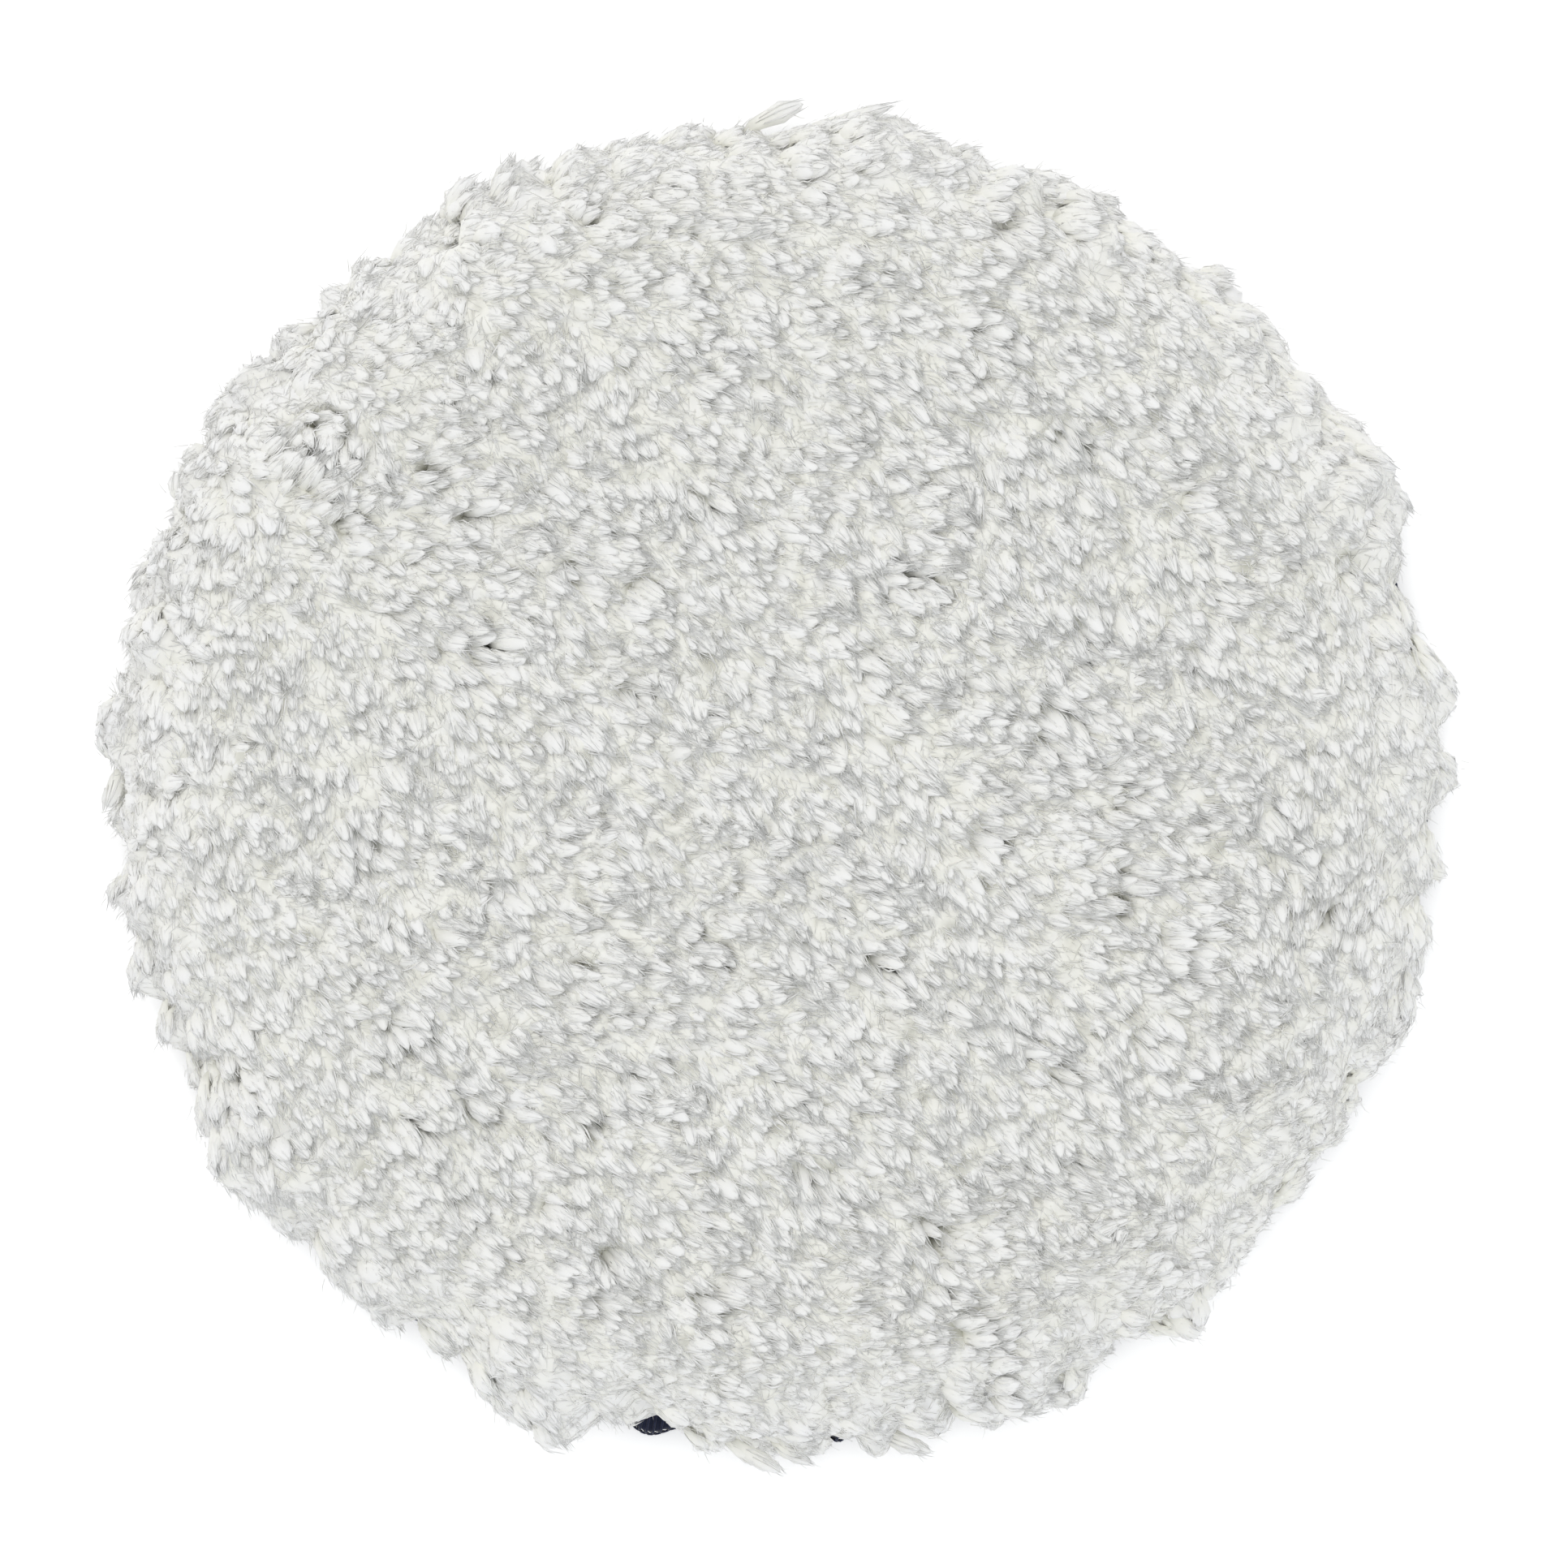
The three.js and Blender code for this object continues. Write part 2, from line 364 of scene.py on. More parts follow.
def tubes_mesh(rings, tone, closed=False):
    """One mesh of tubes with flat ends, from (tubes, rings, sides, 3). A closed tube's last ring
    joins its first."""
    count, ring_count, sides, _ = rings.shape
    body = ring_count * sides
    side = np.arange(sides)
    following = (side + 1) % sides
    faces = [] if closed else [side[::-1], body - sides + side]
    for ring in range(ring_count if closed else ring_count - 1):
        low, high = ring * sides, ((ring + 1) % ring_count) * sides
        faces.extend(np.stack([low + side, low + following, high + following, high + side], axis=1))
    sizes = np.tile([len(f) for f in faces], count)
    corners = np.concatenate(faces)
    loops = (corners[None] + np.arange(count)[:, None] * body).ravel()
    mesh = mesh_from(rings.reshape(-1, 3), loops, sizes)
    add_attribute(mesh, "tone", np.repeat(tone, body))
    along = np.repeat(np.arange(ring_count) / (ring_count - 1), sides)
    around = np.tile(np.arange(sides) / (sides - 1), ring_count)
    if closed:  # one long thread runs through all the tiles
        stretch = np.arange(ring_count) // 12
        places = tiled_places(stretch, np.zeros(1), np.zeros(1))
        rows = np.repeat(places, sides, axis=0).reshape(ring_count, sides, 2)
        rows[..., 1] += 0.6 / BAKE_TILES * np.arange(sides) / (sides - 1)
        rows[..., 0] += (0.6 / BAKE_TILES * (np.arange(ring_count) % 12) / 12)[:, None]
        add_texture_places(mesh, np.tile(rows.reshape(-1, 2), (count, 1)))
    else:
        add_texture_places(mesh, tiled_places(tone, along, around))
    return mesh


def tube_rings(centre, outward, radius, sides, twist=0.0, ply=0.0):
    """Rings round paths (tubes, stations, 3), with outward a vector across each path. ply is how
    deep the grooves are between a twisted thread's three plies."""
    along = unit(np.gradient(centre, axis=1))
    across = unit(outward - along * (outward * along).sum(-1, keepdims=True))
    over = np.cross(along, across)
    phi = np.arange(sides) / sides * TAU
    step = np.linalg.norm(np.diff(centre, axis=1, prepend=centre[:, :1]), axis=-1)
    turn = twist * np.cumsum(step, axis=1)[..., None]
    size = np.broadcast_to(radius, centre.shape[:2])[..., None] * (1 + ply * np.cos(3 * phi - turn))
    x = (size * np.cos(phi))[..., None] * across[:, :, None]
    y = (size * np.sin(phi))[..., None] * over[:, :, None]
    return centre[:, :, None] + x + y


def disc_points(distance, segments):
    """The middle and then rings of points at the given distances, as (points, 2)."""
    theta = np.arange(segments) / segments * TAU
    rings = [np.outer(distance, np.cos(theta)).ravel(), np.outer(distance, np.sin(theta)).ravel()]
    return np.concatenate([[[0.0, 0.0]], np.stack(rings, axis=1)])


def shell_mesh(flat, top, bottom, segments, tone):
    """A closed shell between two surfaces, both given at disc_points flat and joined at the rim."""
    count = len(flat)
    ring_count = (count - 1) // segments
    loops, sizes = [], []
    j = np.arange(segments)
    k = (j + 1) % segments
    for offset, flip in ((0, False), (count, True)):
        fan = np.stack([np.zeros(segments, int), 1 + j, 1 + k], axis=1) + offset
        loops.append((fan[:, ::-1] if flip else fan).ravel())
        sizes.append(np.full(segments, 3))
        for ring in range(ring_count - 1):
            a, b = 1 + ring * segments, 1 + (ring + 1) * segments
            quad = np.stack([a + j, b + j, b + k, a + k], axis=1) + offset
            loops.append((quad[:, ::-1] if flip else quad).ravel())
            sizes.append(np.full(segments, 4))
    rim = 1 + (ring_count - 1) * segments
    wall = np.stack([rim + j, count + rim + j, count + rim + k, rim + k], axis=1)
    loops.append(wall.ravel())
    sizes.append(np.full(segments, 4))
    mesh = mesh_from(np.concatenate([top, bottom]), np.concatenate(loops), np.concatenate(sizes))
    add_attribute(mesh, "tone", np.tile(tone, 2))
    reach = np.abs(flat).max()
    half = np.array([0.24, 0.48])
    upper = np.array([0.25, 0.5]) + flat / reach * half
    lower = np.array([0.75, 0.5]) + flat / reach * half
    add_texture_places(mesh, np.concatenate([upper, lower]))
    return mesh


def add_piece(name, mesh, material, replaces=()):
    mesh.name = name
    piece = bpy.data.objects.new(name, mesh)
    bpy.context.scene.collection.objects.link(piece)
    mesh.materials.append(material)
    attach(piece, "root")
    if replaces:
        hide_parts(*replaces)
    return piece


def comb(flat, rng):
    """How far the pile's tips lie from points of the flat cloth: combed one way in the middle,
    and turning to run along the edge near the rim."""
    x, y = flat[:, 0], flat[:, 1]
    heading = NAP_HEADING + math.radians(13) * smooth_noise(x, y, 55 * MM, 21)
    heading = heading + math.radians(12) * smooth_noise(x, y, 15 * MM, 22)
    heading = heading + rng.normal(0, math.radians(13), len(x))
    distance = np.hypot(x, y)
    outward = np.stack([x, y], axis=1) / np.maximum(distance, 1e-9)[:, None]
    way = np.stack([np.cos(heading), np.sin(heading)], axis=1)
    rim = ramp(distance, 45 * MM, FLAT_RADIUS + 4 * MM)
    radial = (way * outward).sum(axis=1)
    way = way - (0.85 * rim * radial)[:, None] * outward
    way = way / np.linalg.norm(way, axis=1)[:, None] ** 0.7
    return way * (NAP_SHIFT * (1 - 0.25 * rim) * np.exp(rng.normal(0, 0.12, len(x))))[:, None]


def part_from(tips):
    """How tips are pushed away from the partings."""
    push = np.zeros_like(tips)
    for x, y, size in partings():
        away = tips - np.array([x, y])
        far = np.hypot(away[:, 0], away[:, 1])
        strength = 0.8 * size / np.maximum(far, 0.1 * MM) * np.exp(-((far / (1.4 * size)) ** 2))
        push += away * strength[:, None]
    return push


def tuft_curves():
    """Each tuft's centre line as a cubic, with its width, its side axis and its tone."""
    rng = np.random.default_rng(11)
    flat = jittered_grid(TUFT_SPACING, REACH, 0.27, 3)
    far = np.hypot(flat[:, 0], flat[:, 1])
    bald = (baldness(flat[:, 0], flat[:, 1])[0] > 0.3) & (far > FLAT_RADIUS + 6 * MM)
    flat = flat[~bald]
    count = len(flat)
    root, root_normal = wrap(flat)
    shift = comb(flat, rng)
    flat_tip = flat + shift

    clumps = jittered_grid(CLUMP_SPACING, REACH + CLUMP_SPACING, 0.33, 5)
    gap = flat_tip[:, None] - clumps[None]
    nearest = np.argmin((gap**2).sum(axis=2), axis=1)
    to_clump = flat_tip - clumps[nearest]
    height, edge = pile_surface(flat_tip)
    flat_tip = flat_tip - to_clump * (0.17 + 0.08 * edge)[:, None] + part_from(flat_tip)
    clump_fall = (to_clump**2).sum(axis=1) / (CLUMP_SPACING / 2) ** 2
    height = height - 0.34 * MM * clump_fall + rng.normal(0, 0.18 * MM, count)
    place, tip_normal = wrap(flat_tip)
    tip = place + tip_normal * height[:, None]

    sideways = unit(tip - root - root_normal * ((tip - root) * root_normal).sum(axis=1)[:, None])
    sideways = unit(sideways - tip_normal * (sideways * tip_normal).sum(axis=1)[:, None])
    lean = TIP_LEAN + math.radians(7) * smooth_noise(flat[:, 0], flat[:, 1], 11 * MM, 24)
    lean = np.clip(lean + rng.normal(0, math.radians(9), count), math.radians(20), math.radians(82))
    tip_way = sideways * np.sin(lean)[:, None] + tip_normal * np.cos(lean)[:, None]
    length = np.linalg.norm(tip - root, axis=1)[:, None]
    stem = root + root_normal * length * 0.45
    crook = tip - tip_way * length * 0.40
    curves = np.stack([root, stem, crook, tip], axis=1)
    width = TUFT_WIDTH * np.exp(rng.normal(0, 0.17, count)) * (1 + 0.2 * edge)
    depth = rng.uniform(0.45, 0.72, count)
    side = unit(np.cross(tip_normal, tip_way + 1e-6))
    tone = rng.normal(0.3, 0.35, count) + 0.9 * edge
    theta = np.arctan2(flat[:, 1], flat[:, 0])
    loose = loose_tufts()
    return [np.concatenate(pair) for pair in zip((curves, width, depth, side, tone, theta), loose)]


def loose_tufts():
    """The tufts that have come loose at the rim, as tuft_curves gives the others."""
    facts = np.array(LOOSE_TUFTS) * MM
    outward = unit(np.column_stack([facts[:, 0], facts[:, 1], np.zeros(len(facts))]))
    root = outward * CLOTH_RADIUS
    root[:, 2] = CLOTH_TOP - CLOTH_SHOULDER
    tip = facts[:, 2:5]
    span = tip - root
    stem = root + outward * 2.5 * MM + span * 0.15 + np.array([0, 0, 2.0 * MM])
    crook = tip - span * 0.4 + outward * 0.8 * MM
    curves = np.stack([root, stem, crook, tip], axis=1)
    count = len(facts)
    side = unit(np.cross(np.array([0.0, 0.0, 1.0]), span))
    theta = np.arctan2(facts[:, 1], facts[:, 0])
    return curves, facts[:, 5], np.full(count, 0.6), side, np.full(count, 1.0), theta


def ring_frames(curves, t, side):
    centre = bezier(curves, t)
    slope = bezier_slope(curves, t)
    across = unit(side[:, None] - slope * (side[:, None] * slope).sum(-1, keepdims=True))
    return centre, slope, across, np.cross(across, slope)


TUFT_STATIONS = np.array([0.0, 0.40, 0.60, 0.76, 0.88, 0.96])
TUFT_GIRTH = np.array([0.45, 0.66, 0.96, 1.04, 0.82, 0.43])
CORE_SIDES = 7
CORE_REACH = 0.975
# Painted shade: a core's tone falls towards its root, olive and then dark olive deep in the pile, and
# rises a little at its tip.
CORE_DEPTH_SHADE = np.array([-7.0, -4.5, -2.6, -1.0, 0.4, 0.8])  # tone at each station, by its depth
CORE_SHARE = 0.94  # of the tuft's width that its solid core takes, inside its fibres


def core_strands(curves, width, depth, side):
    """Each tuft's lumpy core, fullest a little before its tip: rings, tip and pattern space."""
    rng = np.random.default_rng(12)
    count = len(curves)
    centre, slope, across, upward = ring_frames(curves, CORE_REACH * TUFT_STATIONS[None], side)
    phi = np.arange(CORE_SIDES) / CORE_SIDES * TAU
    shape = (count, len(TUFT_STATIONS), 1)
    ridge = np.ones((count, len(TUFT_STATIONS), CORE_SIDES))
    for lobes, strength in ((1, 0.07), (2, 0.12), (3, 0.08)):
        turn = rng.uniform(0, TAU, (count, 1, 1)) + rng.normal(0, 0.8, shape)
        ridge += strength * rng.uniform(0.4, 1.4, (count, 1, 1)) * np.cos(lobes * phi + turn)
    ridge += rng.normal(0, 0.04, ridge.shape) + rng.normal(0, 0.06, shape)
    radius = CORE_SHARE * (width / 2)[:, None, None] * TUFT_GIRTH[None, :, None] * ridge
    x = (radius * np.cos(phi))[..., None] * across[:, :, None]
    y = (depth[:, None, None] * radius * np.sin(phi))[..., None] * upward[:, :, None]
    tip = bezier(curves, np.array([[CORE_REACH]]))[:, 0]
    return centre[:, :, None] + x + y, tip


FIBRES_PER_TUFT = 13
FIBRE_WIDTH = 0.23 * MM
# Painted shade: a yarn end's tone is lower where it starts inside the tuft and higher at its frayed
# end.
END_DEPTH_SHADE = np.array([-1.4, 0.5])


def bundle_strands(curves, width, depth, side):
    """The fibres that make up each tuft's outside, from the middle of its length to its frayed
    end: rings, tips and the tuft that each belongs to."""
    rng = np.random.default_rng(13)
    which = np.repeat(np.arange(len(curves)), FIBRES_PER_TUFT)
    count = len(which)
    slot = np.tile(np.arange(FIBRES_PER_TUFT), len(curves))
    start = rng.uniform(0.38, 0.76, count)
    end = np.clip(rng.normal(1.0, 0.06, count), 0.86, 1.13)
    share = np.array([0.0, 0.55, 1.0])
    t = start[:, None] + (end - start)[:, None] * share[None]
    centre, slope, across, upward = ring_frames(curves[which], t, side[which])
    phi = (slot + rng.uniform(-0.45, 0.45, count)) / FIBRES_PER_TUFT * TAU
    twist = rng.normal(0.25, 0.25, count)
    phi = phi[:, None] + twist[:, None] * share[None]
    girth = np.interp(t, TUFT_STATIONS, TUFT_GIRTH)
    lift = np.stack(
        [np.full(count, 0.88), 0.90 + 0.28 * rng.uniform(0, 1, count) ** 2, np.zeros(count)], axis=1
    )
    radius = girth * lift * (width[which] / 2)[:, None]
    radius[:, 2] = np.abs(rng.normal(0.34, 0.25, count)) * width[which] / 2
    rise = depth[which][:, None] * radius * np.sin(phi)
    place = centre + across * (radius * np.cos(phi))[..., None] + upward * rise[..., None]
    thick = FIBRE_WIDTH * rng.uniform(0.7, 1.25, count)
    along = unit(np.diff(place, axis=1))
    along = np.stack([along[:, 0], unit(along[:, 0] + along[:, 1])], axis=1)
    out = unit(place[:, :2] - centre[:, :2])
    out = unit(out - along * (out * along).sum(-1, keepdims=True))
    over = np.cross(out, along)
    corner = np.arange(3) / 3 * TAU
    half = (thick / 2)[:, None, None] * np.array([0.75, 1.0])[None, :, None]
    rings = place[:, :2, None] + (half * np.cos(corner))[..., None] * out[:, :, None]
    rings = rings + (half * np.sin(corner))[..., None] * over[:, :, None]
    return rings, place[:, 2], which


def fine_rings(first, second, out, over, thick):
    """Three-sided rings of fine fibres, at their starts and their middles."""
    corner = np.arange(3) / 3 * TAU
    cos, sin = np.cos(corner)[None, :, None], np.sin(corner)[None, :, None]
    ring = (thick / 2)[:, None, None] * (cos * out[:, None] + sin * over[:, None])
    return np.stack([first[:, None] + ring, second[:, None] + ring], axis=1)


def stray_strands(curves, width, side):
    """Finer fibres that stand off the tufts."""
    rng = np.random.default_rng(15)
    which = np.repeat(np.arange(len(curves)), STRAYS_PER_TUFT)
    count = len(which)
    start = rng.uniform(0.6, 0.98, count)[:, None]
    centre, slope, across, upward = ring_frames(curves[which], start, side[which])
    centre, slope, across, upward = (v[:, 0] for v in (centre, slope, across, upward))
    phi = rng.uniform(0, TAU, count)[:, None]
    out = across * np.cos(phi) + upward * np.sin(phi)
    around = upward * np.cos(phi) - across * np.sin(phi)
    girth = np.interp(start, TUFT_STATIONS, TUFT_GIRTH) * (width[which] / 2)[:, None]
    first = centre + out * girth * 0.9
    length = rng.uniform(0.9, 2.4, count)[:, None] * MM
    way = slope + out * rng.normal(0.35, 0.25, count)[:, None]
    way = unit(way + around * rng.normal(0, 0.5, count)[:, None])
    turned = unit(way + around * rng.normal(0, 0.7, count)[:, None] + slope * 0.3)
    second = first + way * length * 0.5
    third = second + turned * length * 0.5
    over = unit(np.cross(way, out))
    thick = rng.uniform(0.07, 0.12, count) * MM
    return fine_rings(first, second, np.cross(over, way), over, thick), third, which


def fuzz_strands():
    """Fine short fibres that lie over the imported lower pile: rings, tips, headings and tones."""
    rng = np.random.default_rng(17)
    flat = jittered_grid(FUZZ_SPACING, REACH - 3 * MM, 0.5, 18)
    count = len(flat)
    heading = np.arctan2(*comb(flat, rng).T[::-1]) + rng.normal(0, 0.6, count)
    way = np.stack([np.cos(heading), np.sin(heading)], axis=1)
    length = rng.uniform(1.4, 3.0, count)[:, None] * MM
    lift = np.stack(
        [np.full(count, -0.1), rng.uniform(0.1, 0.4, count), rng.uniform(0.0, 0.5, count)], axis=1
    )
    points = []
    for share, rise in zip((0.0, 0.5, 1.0), lift.T):
        bent = flat + way * length * share
        height, _ = packed_height(bent)
        place, normal = wrap(bent)
        points.append(place + normal * (height + rise * MM)[:, None])
    first, second, tip = points
    along = unit(tip - first)
    over = unit(np.cross(along, normal))
    thick = rng.uniform(0.11, 0.2, count) * MM
    rings = fine_rings(first, second, np.cross(over, along), over, thick)
    theta = np.arctan2(flat[:, 1], flat[:, 0])
    edge = ramp(np.hypot(flat[:, 0], flat[:, 1]), FLAT_RADIUS - 6 * MM, FLAT_RADIUS + 8 * MM)
    # Tone: random about a lowered mean, painted shade that turns these fibres among the tips olive;
    # far lower at the partings, painted shade; paler towards the rim.
    tone = rng.normal(-0.8, 0.8, count) + 2.0 * edge - 5 * parted(flat)
    return rings, tip, theta, tone


def pile_base_mesh():
    """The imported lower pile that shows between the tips: one closed lumpy shell over the cloth."""
    segments = 400
    flat = disc_points(np.linspace(0, REACH, 111)[1:], segments)
    x, y = flat[:, 0], flat[:, 1]
    top, edge = packed_height(flat)
    last = ramp(np.hypot(x, y), REACH - 2 * MM, REACH)
    top = np.maximum(top * (1 - 0.9 * last), 0.6 * MM)
    place, normal = wrap(flat)
    upper = place + normal * top[:, None]
    lower = place + normal * 0.3 * MM
    for surface in (upper, lower):
        surface[:, 2] = np.maximum(surface[:, 2], PILE_FLOOR)
    # Tone: random lumps; painted shade, lowered overall so that the pile between the tips shows olive,
    # and far lower at the partings so that they are painted dark olive; paler towards the rim.
    tone = smooth_noise(x, y, 5 * MM, 43) - 1.8 + 2.4 * edge - 9 * parted(flat)
    return shell_mesh(flat, upper, lower, segments, tone)


def nap_felt_mesh():
    """The matted lower part of the loop pile: flat where it is knitted to its base, lumpy below,
    with a groove where the lock stitch draws it in."""
    segments = 480
    groove = STITCH_RADIUS + np.array([-1.3, -0.8, -0.5, 0.0, 0.5, 0.8, 1.3]) * MM
    inside = np.linspace(0, STITCH_RADIUS - 2.3 * MM, 55)[1:]
    outside = np.linspace(STITCH_RADIUS + 2.0 * MM, nap_high[0] - 0.4 * MM, 4)
    flat = disc_points(np.concatenate([inside, groove, outside]), segments)
    x, y = flat[:, 0], flat[:, 1]
    far = np.hypot(x, y)
    drawn = np.exp(-(((far - STITCH_RADIUS) / (0.75 * MM)) ** 4))
    lumps = 0.10 * MM * smooth_noise(x, y, 3.2 * MM, 51) + 0.12 * MM * smooth_noise(x, y, 9 * MM, 52)
    level = np.clip(NAP_MATTED + lumps, 0.5 * MM, None) * (1 - drawn) + STITCH_GROOVE * drawn
    upper = np.column_stack([flat, np.full(len(flat), nap_high[2])])
    lower = np.column_stack([flat, level])
    return shell_mesh(flat, upper, lower, segments, smooth_noise(x, y, 6 * MM, 53) - 1.0)


def nap_loops():
    """The standing loops of the hook-and-loop cloth: their rings, roots and tones."""
    rng = np.random.default_rng(61)
    root = jittered_grid(LOOP_SPACING, nap_high[0] - 0.5 * MM, 0.45, 62)
    root = root[np.abs(np.hypot(root[:, 0], root[:, 1]) - STITCH_RADIUS) > 1.2 * MM]
    count = len(root)
    heading = NAP_HEADING + 0.9 * smooth_noise(root[:, 0], root[:, 1], 14 * MM, 63)
    heading = heading + rng.normal(0, 0.9, count)
    along = np.stack([np.cos(heading), np.sin(heading)], axis=1)
    across = np.stack([-along[:, 1], along[:, 0]], axis=1)
    half = rng.uniform(0.35, 0.8, count) * MM
    lowest = rng.uniform(0.10, 0.55, count) * MM
    drop = NAP_MATTED + 0.35 * MM - lowest
    lean = rng.normal(0, 0.6, count)
    turn = np.linspace(0, math.pi, 7)
    run = -np.cos(turn)[None] * half[:, None] * (1 + 0.35 * np.sin(turn))[None]
    fall = np.sin(turn)[None] ** 0.8 * drop[:, None]
    place = root[:, None] + along[:, None] * run[..., None]
    place = place + across[:, None] * (fall * lean[:, None])[..., None]
    centre = np.concatenate([place, (NAP_MATTED + 0.35 * MM - fall)[..., None]], axis=-1)
    outward = np.concatenate([across, np.zeros((count, 1))], axis=1)[:, None]
    radius = rng.uniform(0.045, 0.07, count)[:, None] * MM
    return tube_rings(centre, outward, radius, 4), root, rng.normal(0.4, 0.9, count)


def lock_stitches():
    """Separate stitches of a three-ply thread, each bulging between the holes at its ends."""
    rng = np.random.default_rng(64)
    count = int(TAU * STITCH_RADIUS / STITCH_LENGTH)
    share = np.linspace(-0.5, 0.5, 11)
    arch = np.cos(math.pi * share) ** 0.5
    theta = (np.arange(count)[:, None] + 0.94 * share[None]) / count * TAU
    radius = STITCH_RADIUS + rng.normal(0, 0.05, (count, 1)) * MM
    middle = (stitch_low[2] + stitch_high[2]) / 2 + rng.normal(0, 0.04, (count, 1)) * MM
    level = STITCH_GROOVE + 0.1 * MM + (middle - STITCH_GROOVE - 0.1 * MM) * arch
    place = np.stack([radius * np.cos(theta), radius * np.sin(theta), level], axis=-1)
    outward = np.stack([np.cos(theta), np.sin(theta), np.zeros_like(theta)], axis=-1)
    thread = (stitch_high[2] - stitch_low[2]) / 2
    rings = tube_rings(place, outward, thread * (0.8 + 0.2 * arch), 12, twist=2.2 / MM, ply=0.12)
    return rings, rng.normal(0, 0.8, count)


def stadium(share, half, radius):
    """Places and outward directions round an upright stadium, for shares of its perimeter. It
    starts at the foot of its outer side and goes up."""
    straight, bend = 2 * half, math.pi * radius
    s = (share % 1.0) * 2 * (straight + bend)
    turn = np.clip((s - straight) / radius, 0, math.pi)
    turn = turn + np.clip((s - 2 * straight - bend) / radius, 0, math.pi)
    rise = np.clip(s, 0, straight) - np.clip(s - straight - bend, 0, straight)
    across, up = np.cos(turn), np.sin(turn)
    return across * radius, rise - half + up * radius, across, up


def slack(theta):
    """How far the overlocked edge has worked out from the rim at its loosest places."""
    return baldness(np.cos(theta), np.sin(theta))[1]


def round_the_rim(theta, out, rise, across, up):
    """Places and directions in the binding's section at headings theta, as (1, points, 3)."""
    wave = 0.12 * MM * smooth_noise(theta * BINDING_RADIUS, 0 * theta, 25 * MM, 71)
    radius = BINDING_RADIUS + out + wave + slack(theta) * (out > -0.2 * MM)
    sway = 0.12 * MM * smooth_noise(theta * BINDING_RADIUS, 0 * theta, 17 * MM, 72)
    height = BINDING_MIDDLE + rise + sway
    place = np.stack([radius * np.cos(theta), radius * np.sin(theta), height], axis=-1)
    outward = np.stack([across * np.cos(theta), across * np.sin(theta), up], axis=-1)
    return place[None], outward[None]


def closed_rings(place, outward, radius, sides):
    """tube_rings for one path that joins its own start."""
    pad = 2
    extended = np.concatenate([place[:, -pad:], place, place[:, :pad]], axis=1)
    around = np.concatenate([outward[:, -pad:], outward, outward[:, :pad]], axis=1)
    return tube_rings(extended, around, radius, sides)[:, pad:-pad]


def binding_core_mesh():
    """The raw edges of the cloths, folded together inside the overlock stitching."""
    stations, sides = 720, 20
    theta = np.repeat(np.arange(stations) / stations * TAU, sides)
    share = np.tile(np.arange(sides) / sides, stations)
    pinch = 1 + 0.05 * np.sin(theta * BINDING_TURNS / 4) + 0.04 * smooth_noise(theta, share, 0.6, 74)
    out, rise, across, up = stadium(share, BINDING_STRAIGHT, 0.44 * MM)
    place, _ = round_the_rim(theta, out * pinch, rise * pinch, across, up)
    rings = place.reshape(1, stations, sides, 3)
    return tubes_mesh(rings, np.zeros(1) - 1.0, closed=True)


def binding_thread_mesh():
    """The overlock thread, one closed winding round the edge."""
    rng = np.random.default_rng(73)
    stations = BINDING_TURNS * 16
    share = np.arange(stations) / stations
    shake = np.repeat(rng.normal(0, 0.10, BINDING_TURNS), 16)
    shake = np.convolve(np.concatenate([shake[-8:], shake, shake[:7]]), np.ones(16) / 16, "valid")
    slant = 0.35 * np.sin(TAU * share * BINDING_TURNS)
    theta = TAU * share + (shake + slant) * TAU / BINDING_TURNS
    out, rise, across, up = stadium(share * BINDING_TURNS, BINDING_STRAIGHT, 0.60 * MM)
    place, outward = round_the_rim(theta, out, rise, across, up)
    rings = closed_rings(place, outward, BINDING_THREAD, 7)
    return tubes_mesh(rings, np.zeros(1), closed=True)


def binding_purl_mesh():
    """The looper thread that locks the winding along the outside of the edge."""
    stations = BINDING_TURNS * 8
    share = np.arange(stations) / stations
    theta = TAU * share + 0.42 * np.sin(TAU * 2 * share * BINDING_TURNS) * TAU / BINDING_TURNS
    rise = 0.5 * MM * np.sin(TAU * share * BINDING_TURNS)
    out = 0.60 * MM + 2 * BINDING_THREAD * (0.85 + 0.12 * np.cos(TAU * 2 * share * BINDING_TURNS))
    ones = np.ones(stations)
    place, outward = round_the_rim(theta, out, rise, ones, 0 * ones)
    rings = closed_rings(place, outward, BINDING_THREAD * 0.9, 6)
    return tubes_mesh(rings, np.zeros(1) + 0.8, closed=True)


def base_knit_mesh():
    """The warp-knitted base of the loop cloth, with its wales in relief."""
    segments = 320
    flat = disc_points(np.linspace(0, base_high[0], 65)[1:], segments)
    x, y = flat[:, 0], flat[:, 1]
    wales = 0.06 * MM * np.cos(TAU * x / (5.2 * MM)) + 0.04 * MM * smooth_noise(x, y, 7 * MM, 81)
    upper = np.column_stack([flat, base_high[2] - 0.1 * MM + wales])
    lower = np.column_stack([flat, base_low[2] + 0.1 * MM + wales])
    return shell_mesh(flat, upper, lower, segments, smooth_noise(x, y, 8 * MM, 82))


